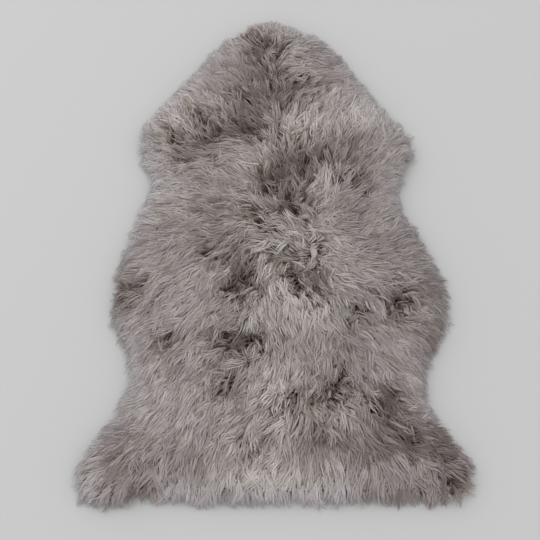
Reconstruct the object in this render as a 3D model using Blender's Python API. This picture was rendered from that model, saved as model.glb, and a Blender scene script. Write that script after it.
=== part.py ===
"""Sheepskin rug, laid flat on a floor with its wool up.

Two solids make the rug, as in the real skin:
  hide    the tanned skin, a flat sheet cut to the outline of the animal
  fleece  the long wool that grows on it, a lumpy slab that parts in places,
          overhangs the hide all round and ends in locks that droop to the floor

Metres, +Z up. The origin is on the floor, under the middle of the rug.
+Y points to the neck, -Y to the tail, and the wool faces +Z.
"""

import math
import random
from collections import namedtuple

import bmesh
import bpy
from mathutils import Matrix, Vector, noise
from mathutils.geometry import delaunay_2d_cdt

# ---- driving dimensions -------------------------------------------------------------------

HIDE_THICKNESS = 0.002
HIDE_INSET = 0.024  # from the wool line in to the cut edge of the hide
HIDE_COLUMNS = 100  # points round the edge of the hide
CLEARANCE = 0.0003  # between the hide and the fleece

LOFT = 0.045  # height of the wool in the middle of the rug
CROWN_WIDTH = 0.075  # how far in from its edge the top climbs to the loft
LOCKS = 300  # locks round the rim, one for each column of the rim
INSET_SMOOTHINGS = 4  # times that a line inside the wool line is evened out
TOP_SPACING = 0.0138  # between the points of the top

# The lumps of the top, across and along the rug, and how high they stand.
Lumps = namedtuple("Lumps", "place width length height")
TOP_LUMPS = (
    Lumps("tufts lying together", 0.058, 0.085, 0.0090),
    Lumps("single tufts", 0.022, 0.036, 0.0080),
)

SEED = 7

# The wool line: where the fleece looks solid from above, clockwise from the tip of the neck.
Landmark = namedtuple("Landmark", "place x y")
WOOL_LINE = (
    Landmark("neck tip", -0.003, 0.504),
    Landmark("neck, right", 0.055, 0.479),
    Landmark("cheek, right", 0.107, 0.447),
    Landmark("throat, right", 0.143, 0.393),
    Landmark("shoulder, right", 0.213, 0.291),
    Landmark("fore leg, right, front", 0.252, 0.238),
    Landmark("fore leg, right", 0.273, 0.186),
    Landmark("armpit, right", 0.241, 0.127),
    Landmark("waist, right", 0.235, 0.067),
    Landmark("ribs, right", 0.267, 0.013),
    Landmark("belly, right, front", 0.289, -0.040),
    Landmark("belly, right", 0.312, -0.097),
    Landmark("belly, right, rear", 0.311, -0.158),
    Landmark("flank, right, front", 0.286, -0.215),
    Landmark("flank, right", 0.264, -0.271),
    Landmark("thigh, right", 0.270, -0.334),
    Landmark("hind leg, right, front", 0.309, -0.386),
    Landmark("hind leg, right", 0.340, -0.440),
    Landmark("hind leg, right, tip", 0.324, -0.490),
    Landmark("tail edge, right", 0.259, -0.487),
    Landmark("tail edge", 0.045, -0.489),
    Landmark("tail edge, left", -0.116, -0.489),
    Landmark("tail edge, far left", -0.185, -0.483),
    Landmark("hind leg, left, inner", -0.245, -0.489),
    Landmark("hind leg, left, tip", -0.306, -0.497),
    Landmark("hind leg, left", -0.341, -0.458),
    Landmark("hind leg, left, front", -0.326, -0.401),
    Landmark("thigh, left", -0.283, -0.352),
    Landmark("flank, left", -0.258, -0.285),
    Landmark("flank, left, front", -0.261, -0.225),
    Landmark("belly, left, rear", -0.287, -0.172),
    Landmark("belly, left", -0.300, -0.115),
    Landmark("belly, left, front", -0.285, -0.045),
    Landmark("ribs, left", -0.254, 0.060),
    Landmark("waist, left", -0.230, 0.120),
    Landmark("armpit, left", -0.257, 0.176),
    Landmark("fore leg, left", -0.262, 0.236),
    Landmark("shoulder, left", -0.226, 0.292),
    Landmark("throat, left", -0.148, 0.390),
    Landmark("cheek, left", -0.113, 0.441),
    Landmark("neck, left", -0.062, 0.483),
)

# The side of the fleece, from the hide up: each ring follows the wool line.
Ring = namedtuple("Ring", "place inset height")
RIM = (
    Ring("foot", 0.026, HIDE_THICKNESS + CLEARANCE),
    Ring("under", 0.016, 0.0085),
    Ring("bulge", 0.009, 0.0210),
    Ring("brow", 0.018, 0.0340),
)

# The two tiers of locks, which take turns round the rim. Each grows between two rings, and
# its heights are those of its middle and of its tip.
Tier = namedtuple("Tier", "place lower_ring shortest longest middle_height tip_height")
LOW_TIER = Tier("resting on the floor", 1, 0.024, 0.038, 0.0040, 0.0010)
HIGH_TIER = Tier("drooping over them", 2, 0.022, 0.034, 0.0235, 0.0130)
LOCK_HALF_WIDTH = 0.0034  # at the middle of a lock
LOCK_HALF_DEPTH = 0.0040
LOCK_SWAY = math.radians(12)  # how far a lock leans to either side

# The wool lies towards the tail: how much the locks of the rim turn that way, from the
# shoulders, where it begins, to the flanks, where it is all there.
TAILWARD_LEAN = 0.55
LEAN_STARTS_AT = 0.20
LEAN_ENDS_AT = -0.05

# Places where the wool parts and shows its depth. The heading is that of the parting's line,
# in degrees from +X towards +Y.
Parting = namedtuple("Parting", "place x y half_length half_width heading depth")
PARTINGS = (
    Parting("neck", -0.040, 0.444, 0.032, 0.012, -30, 0.014),
    Parting("neck, right", -0.010, 0.430, 0.015, 0.008, 15, 0.010),
    Parting("throat", -0.014, 0.358, 0.022, 0.014, 100, 0.006),
    Parting("throat, right", 0.036, 0.348, 0.022, 0.013, 10, 0.006),
    Parting("throat, far right", 0.074, 0.325, 0.018, 0.010, -15, 0.006),
    Parting("poll, right", 0.030, 0.299, 0.014, 0.010, -20, 0.006),
    Parting("poll, left", -0.056, 0.294, 0.020, 0.013, -25, 0.008),
    Parting("nape", -0.045, 0.231, 0.022, 0.011, 0, 0.011),
    Parting("left shoulder", -0.112, 0.226, 0.026, 0.014, 55, 0.012),
    Parting("left shoulder, outer", -0.148, 0.250, 0.018, 0.012, -35, 0.007),
    Parting("left fore leg", -0.186, 0.196, 0.034, 0.013, -55, 0.010),
    Parting("left fore leg, inner", -0.154, 0.204, 0.018, 0.008, -20, 0.005),
    Parting("withers", 0.006, 0.218, 0.016, 0.007, -60, 0.007),
    Parting("withers, right", 0.055, 0.172, 0.034, 0.020, 95, 0.014),
    Parting("withers, far right", 0.093, 0.168, 0.022, 0.007, 90, 0.006),
    Parting("right fore leg", 0.146, 0.197, 0.022, 0.012, 0, 0.005),
    Parting("right armpit", 0.147, 0.111, 0.022, 0.013, -10, 0.006),
    Parting("spine, front left", 0.005, 0.146, 0.022, 0.012, 60, 0.010),
    Parting("spine, left", -0.004, 0.098, 0.024, 0.013, 105, 0.014),
    Parting("front of the spine", 0.034, 0.070, 0.030, 0.009, -65, 0.014),
    Parting("spine, right", 0.060, 0.090, 0.016, 0.006, 95, 0.008),
    Parting("left of the spine", -0.025, 0.036, 0.030, 0.012, -50, 0.009),
    Parting("on the spine", 0.013, 0.017, 0.020, 0.008, -10, 0.006),
    Parting("left ribs", -0.107, -0.025, 0.018, 0.010, 10, 0.007),
    Parting("right of the spine", 0.074, -0.032, 0.028, 0.005, 85, 0.005),
    Parting("waist", 0.018, -0.038, 0.022, 0.012, -40, 0.006),
    Parting("saddle", 0.040, -0.088, 0.026, 0.014, -40, 0.012),
    Parting("saddle, right", 0.067, -0.109, 0.012, 0.008, -60, 0.008),
    Parting("left saddle", -0.066, -0.090, 0.022, 0.018, 60, 0.014),
    Parting("left saddle, inner", -0.047, -0.080, 0.024, 0.010, 95, 0.011),
    Parting("left belly", -0.270, -0.105, 0.024, 0.016, -40, 0.010),
    Parting("right belly", 0.221, -0.129, 0.024, 0.012, 55, 0.014),
    Parting("right saddle", 0.139, -0.133, 0.022, 0.012, -40, 0.006),
    Parting("right flank", 0.124, -0.164, 0.008, 0.006, -45, 0.007),
    Parting("left flank", -0.190, -0.197, 0.014, 0.010, -40, 0.009),
    Parting("left loin", -0.087, -0.195, 0.022, 0.011, -30, 0.013),
    Parting("loin", -0.042, -0.203, 0.030, 0.011, 0, 0.013),
    Parting("left rump", -0.081, -0.278, 0.030, 0.022, 0, 0.005),
    Parting("right loin", 0.103, -0.293, 0.038, 0.014, 40, 0.014),
    Parting("rear loin", 0.030, -0.310, 0.030, 0.010, 15, 0.011),
    Parting("right rump", 0.175, -0.318, 0.020, 0.013, 20, 0.008),
    Parting("right rump, outer", 0.197, -0.304, 0.016, 0.012, -40, 0.007),
    Parting("rump", -0.041, -0.402, 0.020, 0.014, 10, 0.006),
    Parting("right hip", 0.223, -0.379, 0.035, 0.016, -35, 0.008),
    Parting("tail root", 0.085, -0.370, 0.020, 0.010, 0, 0.006),
    Parting("right hind leg", 0.297, -0.455, 0.018, 0.010, -60, 0.009),
    Parting("left hind leg", -0.216, -0.469, 0.022, 0.010, 75, 0.005),
)


def clear_scene():
    for obj in list(bpy.data.objects):
        bpy.data.objects.remove(obj)


def make_material(name, colour, roughness, sheen=0.0):
    material = bpy.data.materials.new(name)
    material.use_nodes = True
    shader = material.node_tree.nodes["Principled BSDF"]
    shader.inputs["Base Color"].default_value = (*colour, 1.0)
    shader.inputs["Roughness"].default_value = roughness
    shader.inputs["Metallic"].default_value = 0.0
    shader.inputs["Sheen Weight"].default_value = sheen
    return material


# ---- the outline ----------------------------------------------------------------------------


def catmull_rom(before, start, end, after, share):
    """The point at this share of the way from start to end, on the curve through all four."""
    return 0.5 * (
        2.0 * start
        + (end - before) * share
        + (2.0 * before - 5.0 * start + 4.0 * end - after) * share**2
        + (3.0 * start - before - 3.0 * end + after) * share**3
    )


def closed_curve(corners, count, steps=24):
    """count points, evenly spaced, on the smooth closed curve through the corners."""
    fine = []
    for i, start in enumerate(corners):
        end, after = (corners[(i + k) % len(corners)] for k in (1, 2))
        fine += [catmull_rom(corners[i - 1], start, end, after, s / steps) for s in range(steps)]
    fine.append(fine[0])
    travelled = [0.0]
    for a, b in zip(fine, fine[1:]):
        travelled.append(travelled[-1] + (b - a).length)
    points, at = [], 0
    for k in range(count):
        wanted = travelled[-1] * k / count
        while travelled[at + 1] < wanted:
            at += 1
        share = (wanted - travelled[at]) / (travelled[at + 1] - travelled[at])
        points.append(fine[at].lerp(fine[at + 1], share))
    return points


def outward_normals(points):
    """The outward direction at each point of a clockwise closed line."""
    found = []
    for i, _ in enumerate(points):
        along = points[(i + 2) % len(points)] - points[i - 2]
        found.append(Vector((-along.y, along.x)).normalized())
    return found


def inset_line(points, distance):
    """The closed line moved inwards, and evened out so that it doesn't bunch in tight corners."""
    moved = [p - n * distance for p, n in zip(points, outward_normals(points))]
    for _ in range(INSET_SMOOTHINGS):
        moved = [
            0.5 * p + 0.25 * (moved[i - 1] + moved[(i + 1) % len(moved)])
            for i, p in enumerate(moved)
        ]
    return moved


# ---- the hide -------------------------------------------------------------------------------


def build_hide(wool_line, material):
    """A flat sheet with a square-cut edge: one face, extruded up by the skin's thickness."""
    step = len(wool_line) // HIDE_COLUMNS
    edge = inset_line(wool_line, HIDE_INSET)[::step]
    bm = bmesh.new()
    floor_side = bm.faces.new([bm.verts.new((p.x, p.y, 0.0)) for p in edge])
    raised = bmesh.ops.extrude_face_region(bm, geom=[floor_side])
    wool_side = [item for item in raised["geom"] if isinstance(item, bmesh.types.BMVert)]
    bmesh.ops.translate(bm, verts=wool_side, vec=(0.0, 0.0, HIDE_THICKNESS))
    bmesh.ops.recalc_face_normals(bm, faces=bm.faces)
    return add_object("hide", bm, material)


# ---- the fleece -----------------------------------------------------------------------------


def parting_depth(point):
    """How far the wool sinks at this point, towards the nearest partings."""
    depth = 0.0
    for parting in PARTINGS:
        away = point - Vector((parting.x, parting.y))
        turn = math.radians(parting.heading)
        along = away.x * math.cos(turn) + away.y * math.sin(turn)
        across = away.y * math.cos(turn) - away.x * math.sin(turn)
        reach = (along / parting.half_length) ** 2 + (across / parting.half_width) ** 2
        depth = max(depth, parting.depth * math.exp(-reach))
    return depth


def top_height(point, to_edge):
    """Height of the wool's top, at this distance from the edge of the top."""
    brow = RIM[-1].height
    share = min(1.0, to_edge / CROWN_WIDTH)
    crown = brow + (LOFT - brow) * math.sin(share * math.pi / 2)
    relief = -parting_depth(point)
    for layer, lumps in enumerate(TOP_LUMPS):
        place = (point.x / lumps.width, point.y / lumps.length, float(layer))
        relief += lumps.height * noise.noise(place)
    return crown + relief * min(1.0, to_edge / (2 * TOP_SPACING))


def distance_to_line(point, line):
    """Distance from a point to the nearest corner of a closed line with closely spaced corners."""
    return min((point - corner).length for corner in line)


def is_inside(point, line):
    """Whether the point is inside the closed line, by counting the sides that a ray crosses."""
    inside = False
    for i, b in enumerate(line):
        a = line[i - 1]
        if (a.y > point.y) != (b.y > point.y):
            if point.x < a.x + (point.y - a.y) / (b.y - a.y) * (b.x - a.x):
                inside = not inside
    return inside


def hexagonal_points(line, spacing, margin):
    """Points in even rows, each row shifted by half a space, that lie well inside the line."""
    row_height = spacing * math.sqrt(3) / 2
    left, right = min(p.x for p in line), max(p.x for p in line)
    low, high = min(p.y for p in line), max(p.y for p in line)
    points = []
    for row in range(int((high - low) / row_height)):
        shift = spacing / 2 if row % 2 else 0.0
        for column in range(int((right - left) / spacing) + 1):
            point = Vector((left + shift + column * spacing, low + (row + 0.5) * row_height))
            if is_inside(point, line) and distance_to_line(point, line) > margin:
                points.append(point)
    return points


def add_top(bm, brow_verts):
    """The wool's lumpy top: even triangles inside the brow, raised to their heights."""
    brow_line = [v.co.xy for v in brow_verts]
    inner = hexagonal_points(brow_line, TOP_SPACING, 0.6 * TOP_SPACING)
    sides = [(i, (i + 1) % len(brow_line)) for i, _ in enumerate(brow_line)]
    flat, _, triangles, origins, _, _ = delaunay_2d_cdt(brow_line + inner, sides, [], 1, 1e-7)
    verts = []
    for point, origin in zip(flat, origins):
        if origin and origin[0] < len(brow_verts):
            verts.append(brow_verts[origin[0]])
        else:
            height = top_height(point, distance_to_line(point, brow_line))
            verts.append(bm.verts.new((point.x, point.y, height)))
    for triangle in triangles:
        bm.faces.new([verts[i] for i in triangle])


def lock_heading(root, outward, chance):
    """The way a lock of the rim points: outwards, leaning to the tail, with a small sway."""
    share = (LEAN_STARTS_AT - root.y) / (LEAN_STARTS_AT - LEAN_ENDS_AT)
    lean = TAILWARD_LEAN * min(1.0, max(0.0, share))
    heading = (outward + Vector((0.0, -lean))).normalized()
    heading.rotate(Matrix.Rotation(chance.uniform(-LOCK_SWAY, LOCK_SWAY), 2))
    return heading.to_3d()


def grow_lock(bm, face, outward, tier, chance):
    """Draws one quad of the rim out into a tapered lock that droops to a point."""
    root = face.calc_center_median()
    heading = lock_heading(root, outward, chance)
    side = Vector((-heading.y, heading.x, 0.0))
    length = chance.uniform(tier.shortest, tier.longest)
    middle = root + heading * length / 2
    middle.z = tier.middle_height
    tip = root + heading * length
    tip.z = tier.tip_height

    drawn = bmesh.ops.extrude_discrete_faces(bm, faces=[face])["faces"][0]
    by_height = sorted(drawn.verts, key=lambda vert: vert.co.z)
    for pair, up in ((by_height[:2], -LOCK_HALF_DEPTH), (by_height[2:], LOCK_HALF_DEPTH)):
        by_side = sorted(pair, key=lambda vert: vert.co.dot(side))
        for vert, across in zip(by_side, (-LOCK_HALF_WIDTH, LOCK_HALF_WIDTH)):
            vert.co = middle + side * across + Vector((0.0, 0.0, up))
    bmesh.ops.poke(bm, faces=[drawn])["verts"][0].co = tip


def build_fleece(wool_line, material):
    bm = bmesh.new()
    rings = []
    for ring in RIM:
        line = inset_line(wool_line, ring.inset)
        rings.append([bm.verts.new((p.x, p.y, ring.height)) for p in line])
    bm.faces.new(reversed(rings[0]))

    columns = range(len(wool_line))
    wall = {}
    for level, (lower, upper) in enumerate(zip(rings, rings[1:])):
        for i in columns:
            corners = (lower[i - 1], upper[i - 1], upper[i], lower[i])
            wall[level, i] = bm.faces.new(corners)
    add_top(bm, rings[-1])
    bmesh.ops.recalc_face_normals(bm, faces=bm.faces)

    outward = outward_normals(wool_line)
    chance = random.Random(SEED)
    for i in columns:
        tier = LOW_TIER if i % 2 == 0 else HIGH_TIER
        grow_lock(bm, wall[tier.lower_ring, i], outward[i], tier, chance)
    return add_object("fleece", bm, material)


# ---- the rug --------------------------------------------------------------------------------


def add_object(name, bm, material):
    mesh = bpy.data.meshes.new(name)
    bm.to_mesh(mesh)
    bm.free()
    mesh.materials.append(material)
    mesh.shade_smooth()
    mesh.set_sharp_from_angle(angle=math.radians(50))
    obj = bpy.data.objects.new(name, mesh)
    bpy.context.scene.collection.objects.link(obj)
    return obj


def centre_over_origin(objects):
    """Moves the whole rug so that the middle of its box is over the origin."""
    points = [v.co for obj in objects for v in obj.data.vertices]
    middle_x = (min(p.x for p in points) + max(p.x for p in points)) / 2
    middle_y = (min(p.y for p in points) + max(p.y for p in points)) / 2
    for obj in objects:
        obj.location = (-middle_x, -middle_y, 0.0)


def main():
    clear_scene()
    leather = make_material("suede", (0.56, 0.46, 0.36), 0.85)
    wool = make_material("wool", (0.42, 0.365, 0.335), 0.75, sheen=0.4)
    corners = [Vector((landmark.x, landmark.y)) for landmark in WOOL_LINE]
    wool_line = closed_curve(corners, LOCKS)
    hide = build_hide(wool_line, leather)
    fleece = build_fleece(wool_line, wool)
    centre_over_origin([hide, fleece])


main()
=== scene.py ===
# %% [markdown]
# # A long-haired sheepskin rug
#
# A sheepskin is a tanned hide, cut once round the outline of the animal, and the wool that
# still grows on it. The solids give the hide and a lumpy slab for the wool. This lesson keeps
# their sizes and grows locks in the slab's place: some sixty thousand wisps, combed, clumped
# and parted. Everything is in metres, +Y points to the neck and the floor is at z = 0.

# %% Load the frame
import math
from collections import namedtuple

import bmesh
import bpy
import numpy as np
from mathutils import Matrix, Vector, noise
from mathutils.bvhtree import BVHTree


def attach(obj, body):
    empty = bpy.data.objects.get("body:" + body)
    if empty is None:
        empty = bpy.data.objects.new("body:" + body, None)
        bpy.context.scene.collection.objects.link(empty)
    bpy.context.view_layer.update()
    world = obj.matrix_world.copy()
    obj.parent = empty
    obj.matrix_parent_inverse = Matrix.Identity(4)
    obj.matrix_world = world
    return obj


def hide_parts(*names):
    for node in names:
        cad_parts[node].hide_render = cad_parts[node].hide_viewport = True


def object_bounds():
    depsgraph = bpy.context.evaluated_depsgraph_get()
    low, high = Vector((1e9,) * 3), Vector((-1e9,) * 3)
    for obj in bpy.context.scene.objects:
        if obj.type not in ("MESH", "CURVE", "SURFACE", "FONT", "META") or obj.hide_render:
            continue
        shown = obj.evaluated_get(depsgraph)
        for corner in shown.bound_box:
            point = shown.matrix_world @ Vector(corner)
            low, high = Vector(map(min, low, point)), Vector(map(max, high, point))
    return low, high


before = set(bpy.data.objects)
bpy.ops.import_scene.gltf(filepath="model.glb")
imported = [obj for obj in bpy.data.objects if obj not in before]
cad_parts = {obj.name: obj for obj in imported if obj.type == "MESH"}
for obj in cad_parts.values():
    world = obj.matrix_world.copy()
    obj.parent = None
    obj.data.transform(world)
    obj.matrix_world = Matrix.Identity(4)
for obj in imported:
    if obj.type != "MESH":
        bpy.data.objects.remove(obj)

CAD_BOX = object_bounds()
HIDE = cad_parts["hide"]
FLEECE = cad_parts["fleece"]
print("rug:", [round(high - low, 3) for low, high in zip(*CAD_BOX)])

# %% [markdown]
# ## The camera and the room
#
# The rug is seen from the tail end, from about 66 degrees above the floor, through a lens long
# enough to keep its sides nearly parallel. The camera is placed by its distance and height
# angle, so one number changes the view. Most light comes evenly from a white sky. A broad lamp
# from the upper left lets each tuft shade the next, which a sky alone can't do, and a weaker
# one opposite keeps the partings readable.

# %% Camera
LOOK_AT = Vector((-0.010, -0.0560, 0.0))
CAMERA_DISTANCE = 1.95
CAMERA_ELEVATION = math.radians(66)
SENSOR_WIDTH = 36.0
LENS = 69.27


def add_object(name, data):
    """A new object of the scene, at the origin."""
    made = bpy.data.objects.new(name, data)
    bpy.context.scene.collection.objects.link(made)
    return made


camera_data = bpy.data.cameras.new("camera")
camera_data.sensor_width = SENSOR_WIDTH
camera_data.lens = LENS
camera = add_object("camera", camera_data)
away = Vector((0.0, -math.cos(CAMERA_ELEVATION), math.sin(CAMERA_ELEVATION)))
camera.location = LOOK_AT + away * CAMERA_DISTANCE
camera.rotation_euler = away.to_track_quat("Z", "Y").to_euler()
bpy.context.scene.camera = camera
print("camera at", tuple(round(value, 3) for value in camera.location))

# %% Lights
Lamp = namedtuple("Lamp", "name place size power colour")
LAMPS = (
    Lamp("key", (-1.90, 1.00, 2.10), 3.00, 17.0, (1.0, 0.99, 0.98)),
    Lamp("fill", (1.60, -0.60, 2.10), 2.40, 2.0, (1.0, 1.0, 1.0)),
)
SKY_COLOUR, SKY_STRENGTH = (1.0, 1.0, 1.0, 1.0), 1.04

for lamp in LAMPS:
    data = bpy.data.lights.new(lamp.name, "AREA")
    data.shape = "DISK"
    data.size = lamp.size
    data.energy = lamp.power
    data.color = lamp.colour
    light = add_object(lamp.name, data)
    light.location = lamp.place
    light.rotation_euler = (Vector(lamp.place) - LOOK_AT).to_track_quat("Z", "Y").to_euler()

world = bpy.data.worlds.new("room")
bpy.context.scene.world = world
world.use_nodes = True
sky = world.node_tree.nodes["Background"]
sky.inputs["Color"].default_value = SKY_COLOUR
sky.inputs["Strength"].default_value = SKY_STRENGTH
bpy.context.scene.view_settings.view_transform = "Standard"
print("lamps:", len(LAMPS))

# %% [markdown]
# ## Shader maths as plain Python
#
# Node trees get long when every plus and times is a node placed by hand. A small class wraps
# a node's output and gives it Python's own operators, so that `tone * 0.3` adds the Math node
# for us. Everything else comes from one method, which takes the kind of node, what goes into its
# sockets and its settings.

# %% A paint box for node materials
MIX_FACTOR, MIX_A, MIX_B, MIX_COLOUR = 0, 6, 7, 2  # a Mix node's sockets for colours


class Wire(namedtuple("Wire", "paint socket")):
    """The output of a node, with the arithmetic of Math nodes."""

    def math(self, operation, *others):
        return self.paint.math(operation, self, *others)

    def __add__(self, other):
        return self.math("ADD", other)

    def __sub__(self, other):
        return self.math("SUBTRACT", other)

    def __rsub__(self, other):
        return self.paint.math("SUBTRACT", other, self)

    def __mul__(self, other):
        return self.math("MULTIPLY", other)

    __radd__ = __add__
    __rmul__ = __mul__


class Paint:
    """A new material, its Principled shader and the nodes that feed it."""

    def __init__(self, name, constants):
        self.material = bpy.data.materials.new(name)
        self.material.use_nodes = True
        self.tree = self.material.node_tree
        self.shader = self.tree.nodes["Principled BSDF"]
        for socket, value in constants.items():
            self.shader.inputs[socket].default_value = value

    def node(self, kind, inputs, output=0, **settings):
        """Adds a node of this kind and returns one of its outputs."""
        made = self.tree.nodes.new(kind)
        for name, value in settings.items():
            setattr(made, name, value)
        for socket, value in inputs.items():
            if isinstance(value, Wire):
                self.tree.links.new(value.socket, made.inputs[socket])
            else:
                made.inputs[socket].default_value = value
        return Wire(self, made.outputs[output])

    def math(self, operation, *values):
        return self.node("ShaderNodeMath", dict(enumerate(values)), operation=operation)

    def mix(self, factor, a, b, blend="MIX"):
        """One colour over another, or multiplied by it."""
        inputs = {MIX_FACTOR: factor, MIX_A: a, MIX_B: b}
        return self.node("ShaderNodeMix", inputs, MIX_COLOUR, data_type="RGBA", blend_type=blend)

    def noise(self, place, scale, detail, roughness):
        inputs = {"Vector": place, "Scale": scale, "Detail": detail, "Roughness": roughness}
        return self.node("ShaderNodeTexNoise", inputs)

    def ramp(self, value, stops):
        """The colour that a value takes between the stops."""
        made = self.node("ShaderNodeValToRGB", {"Fac": value})
        elements = made.socket.node.color_ramp.elements
        while len(elements) < len(stops):
            elements.new(1.0)
        for element, (position, colour) in zip(elements, stops):
            element.position = position
            element.color = (*colour, 1.0)
        return made

    def here(self):
        """The place on the object, in metres."""
        return self.node("ShaderNodeTexCoord", {}, "Object")

    def x_and_y(self, place):
        return [self.node("ShaderNodeSeparateXYZ", {"Vector": place}, axis) for axis in "XY"]

    def place(self, x, y, z):
        return self.node("ShaderNodeCombineXYZ", {"X": x, "Y": y, "Z": z})

    def attribute(self, name):
        return self.node("ShaderNodeAttribute", {}, "Fac", attribute_name=name)

    def feed(self, socket, value):
        self.tree.links.new(value.socket, self.shader.inputs[socket])

    def bump(self, height, strength, distance):
        inputs = {"Height": height, "Strength": strength, "Distance": distance}
        self.feed("Normal", self.node("ShaderNodeBump", inputs))


print("paint box ready")

# %% Floor
FLOOR_SIZE = 14.0
FLOOR_COLOUR = (0.50, 0.50, 0.50, 1.0)

floor_mesh = bmesh.new()
bmesh.ops.create_grid(floor_mesh, x_segments=1, y_segments=1, size=FLOOR_SIZE / 2)
floor_data = bpy.data.meshes.new("floor")
floor_mesh.to_mesh(floor_data)
floor_mesh.free()
floor = add_object("floor", floor_data)
floor_paint = Paint("floor_plain", {"Base Color": FLOOR_COLOUR, "Roughness": 0.9})
floor_data.materials.append(floor_paint.material)
print("floor:", FLOOR_SIZE, "m across")

# %% [markdown]
# ## Maps of the rug
#
# Wool is grown from maps: how far a spot is from the cut edge of the hide, how high the wool
# stands there, and which way it is combed. Textures painted by hand could say the same, but an
# even grid of numbers can be worked out from the solids and read at a million places at once.

# %% A map on an even grid
MAP_STEP = 0.004
MAP_MARGIN = 0.040
JUST_INSIDE = 1.001  # steps from the end of a row, so that a next point is always there

low, high = np.array(CAD_BOX[0]), np.array(CAD_BOX[1])
map_x = np.arange(low[0] - MAP_MARGIN, high[0] + MAP_MARGIN, MAP_STEP)
map_y = np.arange(low[1] - MAP_MARGIN, high[1] + MAP_MARGIN, MAP_STEP)
GRID_X, GRID_Y = np.meshgrid(map_x, map_y)


def read_map(values, x, y):
    """The map's value at each place, between its four nearest points."""
    column = np.clip((x - map_x[0]) / MAP_STEP, 0, len(map_x) - JUST_INSIDE)
    row = np.clip((y - map_y[0]) / MAP_STEP, 0, len(map_y) - JUST_INSIDE)
    i, j = column.astype(int), row.astype(int)
    across, along = column - i, row - j
    near = values[j, i] * (1 - across) + values[j, i + 1] * across
    far = values[j + 1, i] * (1 - across) + values[j + 1, i + 1] * across
    return near * (1 - along) + far * along


def softened(values, times):
    """The map with each point averaged with its neighbours."""
    for _ in range(times):
        for axis in (0, 1):
            before, after = np.roll(values, 1, axis), np.roll(values, -1, axis)
            values = 0.5 * values + 0.25 * (before + after)
    return values


print("map:", GRID_X.shape)


# %% Distance beyond the cut edge of the hide
def hide_outline():
    """The corners of the hide's cut edge, in order, from the face that lies on the floor."""
    bm = bmesh.new()
    bm.from_mesh(HIDE.data)
    bmesh.ops.remove_doubles(bm, verts=bm.verts, dist=1e-5)
    flat = math.radians(1)
    bmesh.ops.dissolve_limit(bm, angle_limit=flat, verts=bm.verts, edges=bm.edges)
    floor_side = max((f for f in bm.faces if f.normal.z < -0.5), key=lambda f: f.calc_area())
    corners = np.array([vert.co.xy for vert in floor_side.verts])
    bm.free()
    return corners


def distance_beyond(corners, x, y):
    """How far each place is outside the closed line, and less than nothing inside it."""
    nearest = np.full(x.shape, np.inf)
    inside = np.zeros(x.shape, bool)
    for (ax, ay), (bx, by) in zip(corners, np.roll(corners, -1, axis=0)):
        ex, ey = bx - ax, by - ay
        share = ((x - ax) * ex + (y - ay) * ey) / (ex * ex + ey * ey)
        share = np.clip(share, 0, 1)
        nearest = np.minimum(nearest, np.hypot(x - ax - share * ex, y - ay - share * ey))
        if ay != by:
            crosses = (ay > y) != (by > y)
            inside ^= crosses & (x < ax + (y - ay) * ex / (by - ay))
    return np.where(inside, -nearest, nearest)


OVERHANG = 0.024  # from the hide's cut edge out to the line where the wool looks solid
outline = hide_outline()
BEYOND_HIDE = distance_beyond(outline, GRID_X, GRID_Y)
BEYOND_WOOL = BEYOND_HIDE - OVERHANG
slope_y, slope_x = np.gradient(BEYOND_HIDE, MAP_STEP)


def read_pair(pair, x, y):
    """Two maps at each place, as rows of x and y."""
    return np.column_stack([read_map(values, x, y) for values in pair])


OUTWARDS = (slope_x, slope_y)  # straight away from the hide's edge
print("hide outline:", len(outline), "corners")

# %% Bend of the rim
BEND_FELT = 0.022  # of its reach, that a lock gains for each radian per metre of bend
FAN_LIMITS = (0.35, 1.35)

rounded = softened(BEYOND_HIDE, 12)
round_y, round_x = np.gradient(rounded, MAP_STEP)
bend = np.gradient(round_x, MAP_STEP, axis=1) + np.gradient(round_y, MAP_STEP, axis=0)
FAN = np.clip(1 + BEND_FELT * softened(bend, 4), *FAN_LIMITS)  # less in a hollow of the edge
print("reach of the rim's locks:", round(float(FAN.min()), 2), "to", round(float(FAN.max()), 2))

# %% Height of the wool
SHOULDER_BEYOND = (-0.018, -0.009, 0.000, 0.007, 0.014)  # metres beyond the wool line
SHOULDER_HEIGHT = (0.036, 0.029, 0.018, 0.008, 0.002)

slab = bmesh.new()
slab.from_mesh(FLEECE.data)
slab_tree = BVHTree.FromBMesh(slab)
slab.free()
DOWN = Vector((0.0, 0.0, -1.0))


def slab_height(x, y):
    """Height of the solid's top at one place, or the floor's beside it."""
    hit = slab_tree.ray_cast(Vector((x, y, 1.0)), DOWN)[0]
    return hit.z if hit else 0.0


slab_top = np.vectorize(slab_height)(GRID_X, GRID_Y)
shoulder = np.interp(BEYOND_WOOL, SHOULDER_BEYOND, SHOULDER_HEIGHT)
TOP = softened(np.where(BEYOND_WOOL < SHOULDER_BEYOND[0], slab_top, shoulder), 2)
print("wool stands", round(float(TOP.max()), 4), "m high")

# %% [markdown]
# ## Combing
#
# Wool keeps the lie it had on the animal: outwards from the neck, over the fore legs and down
# the flanks, and straight down over the rump. Blender has a comb brush, but its strokes can't be
# written down, so a table gives the heading at some places, and every other place takes a mean
# of them weighted by distance. A slow noise adds swirls, most over the withers. Where the wool
# parts, it turns away to both sides, so each parting adds a push away from its line.

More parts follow.
